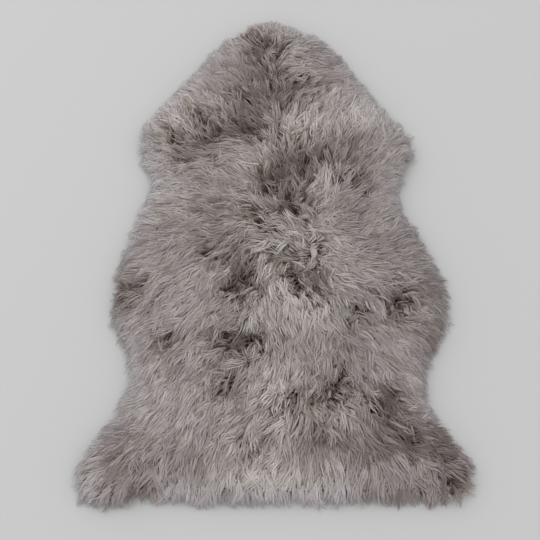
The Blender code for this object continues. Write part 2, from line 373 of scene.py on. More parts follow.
# %% The lie of the wool
LIES = (  # x, y and the heading there, from the neck to the tail
    (-0.01, 0.47, 88), (-0.05, 0.46, 115), (0.05, 0.44, 20), (-0.12, 0.39, 138), (-0.06, 0.43, 140),
    (0.14, 0.38, 30), (0.09, 0.4, 2), (-0.06, 0.37, 115), (0.05, 0.38, 338), (0.09, 0.35, 335),
    (0.15, 0.32, 65), (0.21, 0.28, 52), (-0.17, 0.31, 138), (-0.11, 0.31, 125), (-0.06, 0.32, 142),
    (-0.01, 0.32, 95), (0.03, 0.3, 65), (0.08, 0.29, 55), (0.14, 0.27, 82), (0.19, 0.24, 98),
    (-0.06, 0.26, 150), (-0.01, 0.25, 122), (0.04, 0.25, 77), (0.09, 0.24, 66), (-0.25, 0.23, 150),
    (-0.2, 0.23, 126), (-0.15, 0.23, 118), (-0.11, 0.27, 125), (-0.12, 0.18, 168),
    (-0.06, 0.19, 168), (0.0, 0.19, 113), (0.05, 0.2, 100), (0.09, 0.18, 88), (0.14, 0.18, 50),
    (0.2, 0.19, 75), (0.25, 0.19, 32), (-0.26, 0.16, 176), (-0.21, 0.14, 200), (-0.16, 0.14, 203),
    (-0.11, 0.14, 142), (-0.06, 0.13, 142), (-0.01, 0.13, 95), (0.04, 0.12, 88), (0.09, 0.13, 74),
    (0.14, 0.13, 55), (0.19, 0.13, 38), (0.25, 0.15, 20), (-0.22, 0.09, 182), (-0.16, 0.09, 160),
    (-0.11, 0.08, 138), (-0.06, 0.08, 195), (-0.02, 0.08, 140), (0.05, 0.09, 85), (0.09, 0.08, 56),
    (0.14, 0.08, 62), (0.19, 0.08, 30), (0.23, 0.09, 5), (-0.25, 0.02, 185), (-0.18, 0.02, 172),
    (-0.1, 0.02, 202), (-0.05, 0.02, 205), (0.0, 0.02, 165), (0.04, 0.0, 150), (0.11, 0.01, 320),
    (0.14, 0.02, 315), (0.18, 0.02, 55), (0.22, 0.0, 38), (0.26, -0.02, 25), (-0.28, -0.04, 195),
    (-0.23, -0.04, 205), (-0.19, -0.04, 220), (-0.13, -0.04, 202), (-0.07, -0.04, 242),
    (0.03, -0.02, 152), (0.13, -0.04, 340), (0.18, -0.03, 30), (0.24, -0.05, 12),
    (-0.3, -0.12, 190), (-0.24, -0.1, 210), (-0.17, -0.09, 230), (-0.11, -0.09, 243),
    (-0.05, -0.07, 264), (-0.01, -0.09, 275), (0.04, -0.07, 258), (0.09, -0.08, 302),
    (0.14, -0.09, 318), (0.19, -0.09, 326), (0.24, -0.09, 345), (0.29, -0.1, 350),
    (-0.29, -0.16, 200), (-0.23, -0.16, 225), (-0.15, -0.15, 231), (-0.1, -0.15, 232),
    (-0.05, -0.14, 256), (-0.01, -0.15, 275), (0.04, -0.15, 277), (0.09, -0.15, 290),
    (0.14, -0.15, 310), (0.18, -0.15, 300), (0.27, -0.15, 325), (-0.26, -0.21, 212),
    (-0.19, -0.22, 232), (-0.15, -0.22, 240), (-0.11, -0.22, 200), (-0.05, -0.24, 263),
    (0.0, -0.22, 279), (0.04, -0.21, 275), (0.09, -0.21, 280), (0.14, -0.2, 294), (0.19, -0.2, 298),
    (0.23, -0.2, 320), (0.28, -0.2, 335), (-0.27, -0.26, 225), (-0.22, -0.27, 235),
    (-0.17, -0.27, 247), (-0.1, -0.28, 228), (-0.05, -0.28, 243), (-0.01, -0.28, 246),
    (0.04, -0.27, 257), (0.09, -0.26, 260), (0.13, -0.24, 278), (0.18, -0.26, 302),
    (0.23, -0.27, 320), (0.26, -0.31, 328), (-0.29, -0.37, 213), (-0.23, -0.34, 217),
    (-0.18, -0.34, 252), (-0.13, -0.34, 246), (-0.08, -0.35, 238), (-0.02, -0.35, 231),
    (0.03, -0.35, 247), (0.08, -0.34, 300), (0.13, -0.34, 297), (0.17, -0.34, 304),
    (0.22, -0.34, 335), (0.27, -0.35, 335), (-0.32, -0.42, 215), (-0.26, -0.41, 222),
    (-0.21, -0.4, 232), (-0.15, -0.4, 244), (-0.1, -0.4, 252), (-0.06, -0.4, 262), (0.0, -0.4, 240),
    (0.05, -0.39, 262), (0.1, -0.39, 284), (0.14, -0.39, 282), (0.19, -0.39, 302),
    (0.25, -0.39, 326), (0.3, -0.4, 335), (-0.34, -0.47, 218), (-0.29, -0.46, 234),
    (-0.23, -0.46, 243), (-0.17, -0.46, 246), (-0.12, -0.46, 260), (-0.06, -0.46, 266),
    (-0.01, -0.46, 270), (0.05, -0.46, 272), (0.11, -0.46, 268), (0.17, -0.46, 264),
    (0.22, -0.46, 284), (0.26, -0.46, 298), (0.3, -0.44, 322), (0.31, -0.47, 294),
    (0.34, -0.46, 330),
)
LIE_REACH = 0.030  # how far each entry of the table is felt
FAR_WEIGHT = 1e-4  # what is left of it further away

comb_x = np.zeros_like(GRID_X)
comb_y = np.zeros_like(GRID_X)
total = np.full_like(GRID_X, 1e-12)
for x, y, heading in LIES:
    apart = np.hypot(GRID_X - x, GRID_Y - y) / LIE_REACH
    weight = np.exp(-(apart**2) / 2) + FAR_WEIGHT / (1 + apart**4)
    comb_x += weight * math.cos(math.radians(heading))
    comb_y += weight * math.sin(math.radians(heading))
    total += weight
comb_x /= total
comb_y /= total
print("lie of the wool from", len(LIES), "places")

# %% Swirls
SWIRLS = ((0.060, 22, 11.0), (0.028, 34, 23.0))  # size, turn in degrees, layer of the noise
UNRULY_AT = (0.00, 0.14)
UNRULY_SIZE = (0.17, 0.20)
CALM_SHARE = 0.58
NOISE_SPAN = 1.6  # stretches Blender's noise to about -1 to 1


def noise_map(size, layer):
    """A smooth noise over the rug, with patches of about this size."""
    one = np.vectorize(lambda x, y: noise.noise((x / size, y / size, layer)))
    return NOISE_SPAN * one(GRID_X, GRID_Y)


across = (GRID_X - UNRULY_AT[0]) / UNRULY_SIZE[0]
along = (GRID_Y - UNRULY_AT[1]) / UNRULY_SIZE[1]
UNRULY = CALM_SHARE + (1 - CALM_SHARE) * np.exp(-(across**2) - along**2)
swirl = sum(math.radians(most) * noise_map(size, layer) for size, most, layer in SWIRLS)
turn = swirl * UNRULY
LIE_X = comb_x * np.cos(turn) - comb_y * np.sin(turn)
LIE_Y = comb_x * np.sin(turn) + comb_y * np.cos(turn)
print("swirls turn the wool by up to", round(float(np.degrees(np.abs(turn).max()))), "degrees")

# %% Partings
PARTINGS = (  # x, y, half the length, half the width, heading and depth, neck to tail
    (-0.04, 0.444, 0.032, 0.012, -30, 0.014), (-0.01, 0.43, 0.015, 0.008, 15, 0.01),
    (-0.014, 0.358, 0.022, 0.014, 100, 0.006), (0.036, 0.348, 0.022, 0.013, 10, 0.006),
    (0.074, 0.325, 0.018, 0.01, -15, 0.006), (0.03, 0.299, 0.014, 0.01, -20, 0.006),
    (-0.056, 0.294, 0.02, 0.013, -25, 0.008), (-0.045, 0.231, 0.022, 0.011, 0, 0.011),
    (-0.112, 0.226, 0.026, 0.014, 55, 0.012), (-0.148, 0.25, 0.018, 0.012, -35, 0.007),
    (-0.186, 0.196, 0.034, 0.013, -55, 0.01), (-0.154, 0.204, 0.018, 0.008, -20, 0.005),
    (0.006, 0.218, 0.016, 0.007, -60, 0.007), (0.055, 0.172, 0.034, 0.02, 95, 0.014),
    (0.093, 0.168, 0.022, 0.007, 90, 0.006), (0.146, 0.197, 0.022, 0.012, 0, 0.005),
    (0.147, 0.111, 0.022, 0.013, -10, 0.006), (0.005, 0.146, 0.022, 0.012, 60, 0.01),
    (-0.004, 0.098, 0.024, 0.013, 105, 0.014), (0.034, 0.07, 0.03, 0.009, -65, 0.014),
    (0.06, 0.09, 0.016, 0.006, 95, 0.008), (-0.025, 0.036, 0.03, 0.012, -50, 0.009),
    (0.013, 0.017, 0.02, 0.008, -10, 0.006), (-0.107, -0.025, 0.018, 0.01, 10, 0.007),
    (0.074, -0.032, 0.028, 0.005, 85, 0.005), (0.018, -0.038, 0.022, 0.012, -40, 0.006),
    (0.04, -0.088, 0.026, 0.014, -40, 0.012), (0.067, -0.109, 0.012, 0.008, -60, 0.008),
    (-0.066, -0.09, 0.022, 0.018, 60, 0.014), (-0.047, -0.08, 0.024, 0.01, 95, 0.011),
    (-0.27, -0.105, 0.024, 0.016, -40, 0.01), (0.221, -0.129, 0.024, 0.012, 55, 0.014),
    (0.139, -0.133, 0.022, 0.012, -40, 0.006), (0.124, -0.164, 0.008, 0.006, -45, 0.007),
    (-0.19, -0.197, 0.014, 0.01, -40, 0.009), (-0.087, -0.195, 0.022, 0.011, -30, 0.013),
    (-0.042, -0.203, 0.03, 0.011, 0, 0.013), (-0.081, -0.278, 0.03, 0.022, 0, 0.005),
    (0.103, -0.293, 0.038, 0.014, 40, 0.014), (0.03, -0.31, 0.03, 0.01, 15, 0.011),
    (0.175, -0.318, 0.02, 0.013, 20, 0.008), (0.197, -0.304, 0.016, 0.012, -40, 0.007),
    (-0.041, -0.402, 0.02, 0.014, 10, 0.006), (0.223, -0.379, 0.035, 0.016, -35, 0.008),
    (0.085, -0.37, 0.02, 0.01, 0, 0.006), (0.297, -0.455, 0.018, 0.01, -60, 0.009),
    (-0.216, -0.469, 0.022, 0.01, 75, 0.005),
)
DEEPEST = 0.014
PUSH = 1.2  # against the lie of the wool, which is 1
PUSH_REACH = 0.019
PARTING_SOFTNESS = 0.005
RUFFLE_REACH = 0.014  # beyond the parting itself

PUSH_X, PUSH_Y = np.zeros_like(GRID_X), np.zeros_like(GRID_X)
SHADE = np.zeros_like(GRID_X)  # 1 in the depth of a parting, 0 away from all
RUFFLE = np.zeros_like(GRID_X)  # the same over the wider stretch where the wool is disturbed

for x, y, length, width, heading, depth in PARTINGS:
    turn, share = math.radians(heading), depth / DEEPEST
    dx, dy = GRID_X - x, GRID_Y - y
    along = dx * math.cos(turn) + dy * math.sin(turn)
    across = dy * math.cos(turn) - dx * math.sin(turn)
    felt = np.exp(-((along / length) ** 2) - (across / PUSH_REACH) ** 2)
    push = PUSH * share * felt * across / np.hypot(across, PARTING_SOFTNESS)
    PUSH_X -= push * math.sin(turn)
    PUSH_Y += push * math.cos(turn)
    SHADE = np.maximum(SHADE, share * np.exp(-((along / length) ** 2) - (across / width) ** 2))
    along, across = along / (length + RUFFLE_REACH), across / (width + RUFFLE_REACH)
    RUFFLE = RUFFLE + (1 - RUFFLE) * math.sqrt(share) * np.exp(-(along**2) - across**2)

print("partings:", len(PARTINGS))

# %% [markdown]
# ## Open and closed wool
#
# One looks deep into the wool where it lies apart: in the partings, and at crowns, from which
# it runs off to all sides. Elsewhere it closes, and the rim is combed smooth, apart from the
# tail edge, where locks hang side by side. Crowns could be set by hand, but worked out from
# the lie itself they always agree with it.

# %% Crowns
CROWN_FROM, CROWN_TO = 20, 70  # how fast the lie spreads at a crown, in radians per metre
LEAST_STRENGTH = 0.05
IN_FULL = 1.5  # times its depth: a parting counts in full from two thirds of it

strength = np.maximum(np.hypot(LIE_X + PUSH_X, LIE_Y + PUSH_Y), LEAST_STRENGTH)
apart_x = np.gradient((LIE_X + PUSH_X) / strength, MAP_STEP, axis=1)
apart_y = np.gradient((LIE_Y + PUSH_Y) / strength, MAP_STEP, axis=0)
CROWN = np.clip((softened(apart_x + apart_y, 2) - CROWN_FROM) / (CROWN_TO - CROWN_FROM), 0, 1)
CALM_CROWN = CROWN * np.clip(1 - IN_FULL * SHADE, 0, 1)  # those outside the partings
print("the wool lies apart over", round(float((CROWN > 0.3).mean() * 100)), "% of the map")

# %% How deep one can look
MAT_SHARE, MAT_SHARE_OPEN = 0.78, 0.15  # the under-wool's part of the height, and in partings

OPENED = np.clip(IN_FULL * SHADE + RUFFLE, 0, 1)
MAT_LEVEL = MAT_SHARE + (MAT_SHARE_OPEN - MAT_SHARE) * OPENED
print("under-wool at", MAT_SHARE, "of the height, and", MAT_SHARE_OPEN, "in the partings")

# %% The smooth rim
RIM_BAND = 0.050  # how far in from the wool line the paler, finer wool of the rim begins
TAIL_FROM, TAIL_TO = -0.36, -0.45
SETTLED = 0.70  # how orderly the wool away from the partings is, against 1 at the smooth rim
SETTLED_LOSS = 0.6  # the part of that which is lost where the wool is most unruly

RIM = np.clip(1 + BEYOND_WOOL / RIM_BAND, 0, 1)
TAIL = np.clip((GRID_Y - TAIL_FROM) / (TAIL_TO - TAIL_FROM), 0, 1)
TAIL_EDGE = RIM * TAIL
SMOOTH = RIM * (1 - TAIL)  # along the tail edge the locks stay apart
unruly = (UNRULY - CALM_SHARE) / (1 - CALM_SHARE)
settled = SETTLED * (1 - SETTLED_LOSS * unruly) * (1 - np.minimum(RUFFLE, 1))
ORDER = np.maximum(SMOOTH, settled)
print("smooth rim over", round(float((SMOOTH > 0.3).mean() * 100)), "% of the map")

# %% [markdown]
# ## Tufts
#
# Wool grows in staples: a dozen wisps that share a root patch and cling together at the tip.
# Hair particles would spread evenly, so the roots are laid out as tufts, in shaken hexagonal
# rows. Long fine tufts make the top, coarser ones fill the space below them, short ones line
# the partings and crowns, and still finer ones smooth the rim, with two rows along the cut
# edge to cover its side. A tuft's wisps vary a little from its heading, height and tone.

# %% Places of the tufts
SEED = 20
COVER_SPACING = 0.0145
FILL_SPACING = 0.0115
PARTING_SPACING = 0.0068
SOFT_SPACING = 0.0090
EDGE_SPACING = 0.0070
SOFT_BAND = -0.034  # the fine wool of the rim starts this far in from the cut edge
EDGE_ROWS = (-0.003, -0.010)  # beyond the cut edge, so that both rows lie inside it
EDGE_MARGIN = -0.002
SHAKEN, SHAKEN_AT_EDGE = 0.42, 0.3  # of a space, to either side
CROWN_COUNTS = 1.2  # as much as a parting's shade
THINNED_AT_TAIL = 0.7
TOP_ENDS, PARTING_BEGINS = (0.5, 1.2), (0.15, 0.6)  # at which shade, drawn between these two

chance = np.random.default_rng(SEED)


def shaken_rows(spacing):
    """Even places in hexagonal rows, each moved at random by part of a space."""
    row_height = spacing * math.sqrt(3) / 2
    rows = np.arange(low[1], high[1], row_height)
    columns = np.arange(low[0], high[0], spacing)
    x, y = np.meshgrid(columns, rows)
    x = x + spacing / 2 * (np.arange(len(rows)) % 2)[:, None]
    places = np.column_stack((x.ravel(), y.ravel()))
    return places + chance.uniform(-SHAKEN, SHAKEN, places.shape) * spacing


def edge_row(beyond, spacing):
    """Places along the cut edge of the hide, moved across it by this distance."""
    sides = np.hypot(*(np.roll(outline, -1, axis=0) - outline).T)
    start = np.concatenate(([0.0], np.cumsum(sides)))
    at = np.arange(0.0, start[-1], spacing) + chance.uniform(0, spacing)
    closed = np.vstack((outline, outline[:1]))
    x, y = (np.interp(at % start[-1], start, closed[:, axis]) for axis in (0, 1))
    places = np.column_stack((x, y)) + beyond * read_pair(OUTWARDS, x, y)
    return places + chance.uniform(-SHAKEN_AT_EDGE, SHAKEN_AT_EDGE, places.shape) * spacing


def on_hide(places):
    return places[read_map(BEYOND_HIDE, *places.T) < EDGE_MARGIN]


def drawn(values, places, lowest, highest):
    """Where the map is above a number that is drawn between these two."""
    return read_map(values, *places.T) > chance.uniform(lowest, highest, len(places))


cover_tufts = on_hide(shaken_rows(COVER_SPACING))
cover_tufts = cover_tufts[~drawn(SHADE, cover_tufts, *TOP_ENDS)]
fill_tufts = on_hide(shaken_rows(FILL_SPACING))
soft_tufts = on_hide(shaken_rows(SOFT_SPACING))
soft_tufts = soft_tufts[read_map(BEYOND_HIDE, *soft_tufts.T) > SOFT_BAND]
soft_tufts = soft_tufts[~drawn(THINNED_AT_TAIL * TAIL, soft_tufts, 0, 1)]
edge_tufts = np.vstack([edge_row(beyond, EDGE_SPACING) for beyond in EDGE_ROWS])
parting_tufts = shaken_rows(PARTING_SPACING)
opened = np.maximum(SHADE, CROWN_COUNTS * CROWN)
parting_tufts = on_hide(parting_tufts[drawn(opened, parting_tufts, *PARTING_BEGINS)])
print("tufts:", len(cover_tufts), "on top,", len(fill_tufts), "below them,")
print(len(soft_tufts) + len(edge_tufts), "at the rim and", len(parting_tufts), "in the partings")

# %% Habits of the tufts
# a habit's shading is how much darker its wisps are painted, as shade, where the wool lies open
Habit = namedtuple("Habit", "wisps stations girth radius reach lowest highest sway shading")
FINE = (0.0, 0.28, 0.52, 0.76, 1.0)  # where a wisp's stations lie, from root to tip
MEDIUM, COARSE = (0.0, 0.35, 0.68, 1.0), (0.0, 0.48, 1.0)
COVER = Habit(11, FINE, 0.00160, 0.0085, 0.056, 0.84, 1.05, 12, 0.14)
FILL = Habit(4, COARSE, 0.00240, 0.0060, 0.040, 0.84, 0.97, 14, 0.36)
SOFT = Habit(8, COARSE, 0.00110, 0.0070, 0.036, 0.84, 1.00, 14, 0.10)
AT_EDGE = Habit(7, COARSE, 0.00140, 0.0055, 0.040, 0.15, 0.95, 10, 0.14)
IN_PARTING = Habit(7, MEDIUM, 0.00150, 0.0060, 0.032, 0.35, 0.85, 16, 0.40)
print("wisps in a tuft:", COVER.wisps, "on top and", FILL.wisps, "below")

# %% Tufts get their headings
SEEN_AT = 0.5  # the part of a tuft's reach at which it shows
EDGE_FELT, EDGE_PULL = 0.03, 0.8  # how far in the cut edge turns the tufts outwards, and how much
RUFFLED_SWAY, CROWN_SWAY = 10, 50  # degrees that disturbed wool and crowns add to a tuft's sway
ABOVE_MAT = 0.20  # how far the tufts in the partings and crowns rise above the under-wool
UPRIGHT = 0.35  # how much shorter a tuft in the depth of a parting reaches
WAVE = 0.0024  # half the height of the waves that a wisp lies in
BEND = 0.0040  # how far a tuft bows to one side
REACHES = (0.85, 1.15)  # of the habit's reach


def tuft_heading(x, y, habit, sway):
    """The heading of each tuft, and how strongly it is combed that way."""
    heading = np.arctan2(read_map(LIE_Y, x, y), read_map(LIE_X, x, y))
    ahead_x = x + SEEN_AT * habit.reach * np.cos(heading)
    ahead_y = y + SEEN_AT * habit.reach * np.sin(heading)
    comb = read_pair((LIE_X, LIE_Y), ahead_x, ahead_y) + read_pair((PUSH_X, PUSH_Y), x, y)
    strength = np.hypot(*comb.T)
    near_edge = np.clip(1 + read_map(BEYOND_HIDE, x, y) / EDGE_FELT, 0, 1)[:, None]
    comb = comb + EDGE_PULL * near_edge * read_pair(OUTWARDS, x, y)
    heading = np.arctan2(comb[:, 1], comb[:, 0])
    return heading + np.radians(sway) * chance.standard_normal(len(x)), strength


def tuft_traits(places, habit):
    """Heading, reach and the other traits of each tuft, as columns of one table."""
    x, y = places.T
    count = len(x)
    ruffle, order = read_map(RUFFLE, x, y), read_map(ORDER, x, y)
    sway = habit.sway * (1.2 - 0.5 * order)
    sway = sway + RUFFLED_SWAY * ruffle + CROWN_SWAY * read_map(CALM_CROWN, x, y)
    heading, strength = tuft_heading(x, y, habit, sway)
    level = chance.uniform(habit.lowest, habit.highest, count)
    if habit is IN_PARTING:
        above = ABOVE_MAT * chance.uniform(0, 1, count)
        level = np.maximum(level, read_map(MAT_LEVEL, x, y) + above)
    lean = np.clip(0.6 + 0.4 * strength, 0.75, 1.0) * (1 - UPRIGHT * read_map(SHADE, x, y))
    return {
        "x": x,
        "y": y,
        "heading": heading,
        "reach": habit.reach * lean * chance.uniform(*REACHES, count),
        "level": level,
        "bend": BEND * (1 + 0.4 * ruffle) * chance.standard_normal(count),
        "wave": WAVE * (1.2 - 0.7 * order) * chance.standard_normal(count),
        "phase": chance.uniform(0, 2 * math.pi, count),
        "tone": chance.standard_normal(count),
    }


print("a tuft's sway:", COVER.sway, "degrees, and up to", CROWN_SWAY, "more at a crown")

# %% [markdown]
# ## Wisps
#
# A wisp is a bundle of hairs: a closed tube of three sides that thins to a point. With so many,
# each gets only what shows: five stations on top, four in the partings and three elsewhere. Its
# path leaves the skin steeply, bends over and follows the top of the fleece, so one rule serves
# the middle of the rug and the rim, where the top falls to the floor. All are worked out
# together as arrays, in seconds, where one operator call for each would take an hour.

# %% Roots and tips of the wisps
FURTHEST = (0.002, 0.015)  # how far beyond the wool line the tips may end
BRINK = (0.15, 0.75)  # how deep into a parting's shade the wisps beside it reach
BRINK_STEPS = (0.9, 0.8, 0.7, 0.6, 0.5, 0.4)
GATHER = (0.05, 0.50)  # the part of a tuft's width that is left at its tips
GATHER_LOSS = 0.6  # how much narrower the tips of the tail edge's locks are
OWN_HEADING, OWN_REACH = 0.08, (0.72, 1.08)  # radians, and a part of the tuft's reach


def roots_and_tips(each, habit):
    """Places of the roots and the tips as rows of x and y, the heading and the way off centre."""
    count = len(each["x"])
    centre = np.stack((each["x"], each["y"]))
    angle = chance.uniform(0, 2 * math.pi, count)
    off = np.sqrt(chance.uniform(0, 1, count))
    away = off * np.stack((np.cos(angle), np.sin(angle)))
    root = centre + habit.radius * away
    heading = each["heading"] + OWN_HEADING * chance.standard_normal(count)
    reach = each["reach"] * chance.uniform(*OWN_REACH, count)
    gather = chance.uniform(*GATHER, count) + 0.4 * read_map(ORDER, *root) ** 2
    gather *= 1 - GATHER_LOSS * read_map(TAIL_EDGE, *root)
    tip = centre + reach * np.stack((np.cos(heading), np.sin(heading)))
    return root, tip + gather * habit.radius * away, heading, off


def held_at_rim(root, tip, limit):
    """The tips, drawn back where they end further beyond the wool line than this."""
    at_root = read_map(BEYOND_WOOL, *root)
    for _ in range(2):
        at_tip = read_map(BEYOND_WOOL, *tip)
        share = np.clip((limit - at_root) / np.maximum(at_tip - at_root, 1e-6), 0.2, 1.0)
        tip = root + (tip - root) * np.where(at_tip > limit, share, 1.0)
    return tip


def share_before_parting(root, tip):
    """The part of each way that lies before the brink of a parting."""
    brink = chance.uniform(*BRINK, root.shape[1])
    share = np.ones(root.shape[1])
    for part in BRINK_STEPS:
        share = np.where(read_map(SHADE, *(root + (tip - root) * part)) > brink, part, share)
    return np.where(read_map(SHADE, *root) > brink, 1.0, share)


print("the rim's tips end", FURTHEST, "m beyond the wool line")

# %% Paths of the wisps
TURNS = 2.2 * math.pi
DIVE = 0.0015  # half the height of the waves up and down, in which wisps cross each other
STEEP, STEEP_OPEN = 3.2, 1.7  # how soon a wisp reaches the top, away from and at the partings
ROOT_HEIGHT = 0.0045
LOWEST = 0.0012  # above the floor
HASTE = 1.15  # a wisp's stations lie closer together towards its root
OWN_WAVE, OWN_BEND, OWN_PHASE = 0.25 * WAVE, 0.0009, 0.4  # how far a wisp departs from its tuft
OWN_LEVEL, OUTER_LOWER = (0.94, 1.02), 0.10
LEVEL_AT = (0.9, 0.98)  # where orderly wool lies, as a part of the height
ON_TOP = 0.8  # only wisps above this level
RAGGED = 0.003  # how far the tips at the rim end on either side of its line
DROOP = (-0.02, 0.12)


def wisp_paths(traits, habit):
    """Places of the stations of every wisp, with the traits that its shape needs."""
    each = {name: np.repeat(values, habit.wisps) for name, values in traits.items()}
    root, tip, heading, off = roots_and_tips(each, habit)
    count = len(heading)
    limit = np.repeat(chance.uniform(*FURTHEST, len(traits["x"])), habit.wisps)
    limit = limit * read_map(FAN, *root) + RAGGED * chance.standard_normal(count)
    tip = held_at_rim(root, tip, limit)
    share = share_before_parting(root, tip)
    way = ((tip - root) * share)[:, :, None]
    each["cut_back"] = 1 - share

    s = np.array(habit.stations)[None, :]
    wave = (each["wave"] + OWN_WAVE * chance.standard_normal(count))[:, None]
    bend = (each["bend"] + OWN_BEND * chance.standard_normal(count))[:, None] * np.sin(math.pi * s)
    phase = (each["phase"] + OWN_PHASE * chance.standard_normal(count))[:, None]
    bend = bend + wave * (np.sin(TURNS * s + phase) - np.sin(phase) * (1 - s))
    sideways = np.stack((-np.sin(heading), np.cos(heading)))[:, :, None]
    x, y = root[:, :, None] + way * s**HASTE + sideways * bend

    level = each["level"] * (1 - OUTER_LOWER * off**2) * chance.uniform(*OWN_LEVEL, count)
    level += read_map(ORDER, *root) * (np.clip(level, *LEVEL_AT) - level) * (level > ON_TOP)
    opened = np.clip(read_map(RUFFLE, *root), 0, 1)[:, None]
    rise = 1 - (1 - s) ** (STEEP + (STEEP_OPEN - STEEP) * opened)
    droop = chance.uniform(*DROOP, count)[:, None] * s**3
    top = read_map(TOP, x, y) * level[:, None]
    own = chance.uniform(0, 2 * math.pi, count)[:, None]
    z = ROOT_HEIGHT * (1 - rise) + rise * top * (1 - droop)
    z += DIVE * rise * np.sin(TURNS * s + own)
    return np.stack((x, y, np.maximum(z, LOWEST)), axis=2), heading, each


print("stations of a wisp:", len(FINE), "on top,", len(MEDIUM), "in partings,", len(COARSE), "below")

# %% Meshes of the wisps
SIDES = 3
UV_NAME = "OFBake"
FLATNESS = 0.45
ROLL = 0.6
TAPER = ((0.0, 0.35, 0.75, 1.0), (0.85, 1.0, 0.7, 0.1))  # the way along a wisp, and its width


def wisp_pattern(stations):
    """Corners, face sizes and map places of one wisp, which all others repeat."""
    rings = len(stations) - 1
    faces = []
    for ring in range(rings):
        for side in range(SIDES):
            face = [(side, ring), (side + 1, ring), (side + 1, ring + 1), (side, ring + 1)]
            if ring == rings - 1:
                face[2:] = [(side + 0.5, rings)]
            faces.append(face)
    faces.append([(2, 0), (1, 0), (0, 0)])
    around, along = np.array(sum(faces, [])).T
    corners = np.where(along < rings, along * SIDES + around % SIDES, rings * SIDES).astype(int)
    sizes = np.array([len(face) for face in faces])
    return corners, sizes, around / SIDES, np.array(stations)[along.astype(int)]


def wisp_corners(path, heading, half_width, stations):
    """The corners of the tubes round the paths, and their points."""
    rings = len(stations) - 1
    taper = np.interp(stations[:rings], *TAPER)
    tangent = np.gradient(path, axis=1)
    tangent /= np.linalg.norm(tangent, axis=2, keepdims=True)
    sideways = np.stack((-np.sin(heading), np.cos(heading), 0 * heading), axis=1)[:, None, :]
    upward = np.cross(tangent, sideways)
    upward /= np.linalg.norm(upward, axis=2, keepdims=True)
    sideways = np.cross(upward, tangent)
    roll = chance.uniform(-ROLL, ROLL, len(path))[:, None]
    width = (half_width[:, None] * taper)[:, :, None]
    tube = []
    for side in range(SIDES):
        angle = roll + math.pi / 2 + side * 2 * math.pi / SIDES
        spread = np.cos(angle)[:, :, None] * sideways[:, :rings]
        lift = FLATNESS * np.sin(angle)[:, :, None] * upward[:, :rings]
        tube.append(path[:, :rings] + width * (spread + lift))
    tube = np.stack(tube, axis=2).reshape(len(path), rings * SIDES, 3)
    return np.concatenate((tube, path[:, -1:]), axis=1)


for stations in (FINE, MEDIUM, COARSE):
    print(len(stations), "stations make", int((wisp_pattern(stations)[1] - 2).sum()), "triangles")

# %% [markdown]
# ## Tones
#
# No two locks take the dye alike. One material for each tone would be costly, so a wisp's
# colour is one column of a chart: sixteen tones, from dark to light, for each of four families,
# the plain wool, the warmer wool of the spine, the pale rim and the deep partings. The tone
# follows patches given in a table and the tuft's own chance. It is painted darker, as shade,
# in disturbed wool, in the partings and along the tail edge, and some patches and the rim
# carry painted light and shade too.

# %% Light and dark patches
# partly the wool's own tone and partly painted shade and light, such as the darker wool round the
# partings
PATCHES = (  # x, y, size and how much lighter it is, from the neck to the tail
    (0.01, 0.46, 0.03, 0.16), (-0.03, 0.412, 0.026, -0.52), (0.09, 0.395, 0.04, -0.12),
    (0.06, 0.362, 0.032, 0.16), (-0.03, 0.335, 0.05, -0.28), (-0.08, 0.355, 0.04, -0.2),
    (0.02, 0.302, 0.035, -0.36), (-0.06, 0.25, 0.05, -0.28), (0.06, 0.215, 0.05, 0.46),
    (0.17, 0.26, 0.055, 0.3), (-0.19, 0.238, 0.052, 0.3), (-0.13, 0.185, 0.05, -0.24),
    (0.05, 0.15, 0.042, -0.62), (-0.05, 0.165, 0.035, 0.26), (-0.03, 0.208, 0.028, -0.12),
    (0.09, 0.11, 0.028, 0.22), (0.13, 0.175, 0.045, -0.3), (0.15, 0.108, 0.04, -0.2),
    (-0.02, 0.105, 0.035, -0.16), (-0.19, 0.11, 0.035, 0.18), (-0.11, 0.05, 0.045, -0.28),
    (-0.03, 0.035, 0.03, 0.16), (0.13, 0.035, 0.045, -0.24), (-0.2, 0.005, 0.06, -0.06),
    (-0.28, -0.05, 0.035, -0.2), (0.22, -0.02, 0.055, -0.22), (0.07, -0.015, 0.05, 0.34),
    (-0.03, -0.03, 0.03, 0.28), (-0.06, -0.038, 0.034, -0.42), (0.0, -0.085, 0.026, 0.24),
    (0.06, -0.084, 0.028, -0.5), (0.04, -0.13, 0.06, 0.42), (-0.16, -0.15, 0.05, 0.1),
    (-0.29, -0.11, 0.045, -0.4), (-0.27, -0.22, 0.06, -0.06), (0.3, -0.1, 0.045, -0.34),
    (0.28, -0.2, 0.045, -0.3), (-0.12, -0.205, 0.03, 0.08), (-0.15, -0.262, 0.034, -0.18),
    (0.01, -0.275, 0.045, 0.26), (0.07, -0.285, 0.035, -0.26), (0.05, -0.205, 0.05, -0.18),
    (0.13, -0.215, 0.032, -0.22), (0.02, -0.335, 0.045, 0.3), (0.06, -0.378, 0.028, -0.26),
    (-0.18, -0.315, 0.058, 0.16), (-0.28, -0.36, 0.05, -0.26), (0.1, -0.324, 0.042, 0.34),
    (0.19, -0.385, 0.06, -0.34), (0.14, -0.392, 0.034, -0.2), (0.3, -0.375, 0.04, -0.56),
    (0.08, -0.412, 0.05, -0.16), (0.31, -0.435, 0.05, -0.24), (-0.27, -0.418, 0.045, -0.14),
    (-0.34, -0.475, 0.035, 0.18), (-0.15, -0.43, 0.045, -0.36), (-0.03, -0.45, 0.055, 0.36),
    (-0.15, -0.482, 0.055, 0.4), (0.08, -0.48, 0.055, 0.4), (0.22, -0.485, 0.035, -0.14),
    (0.34, -0.485, 0.034, 0.58),
)
MOTTLE, MOTTLE_SIZE = 0.05, 0.060
# painted light: the rim is painted lighter on the left and at the neck, towards the key lamp, and
# darker on the right and at the tail
PAINTED_RIM_LIGHT, PAINTED_RIM_LIGHT_ACROSS, PAINTED_RIM_LIGHT_ALONG = 0.01, -0.11, 0.12  # the rim is paler left and at the neck

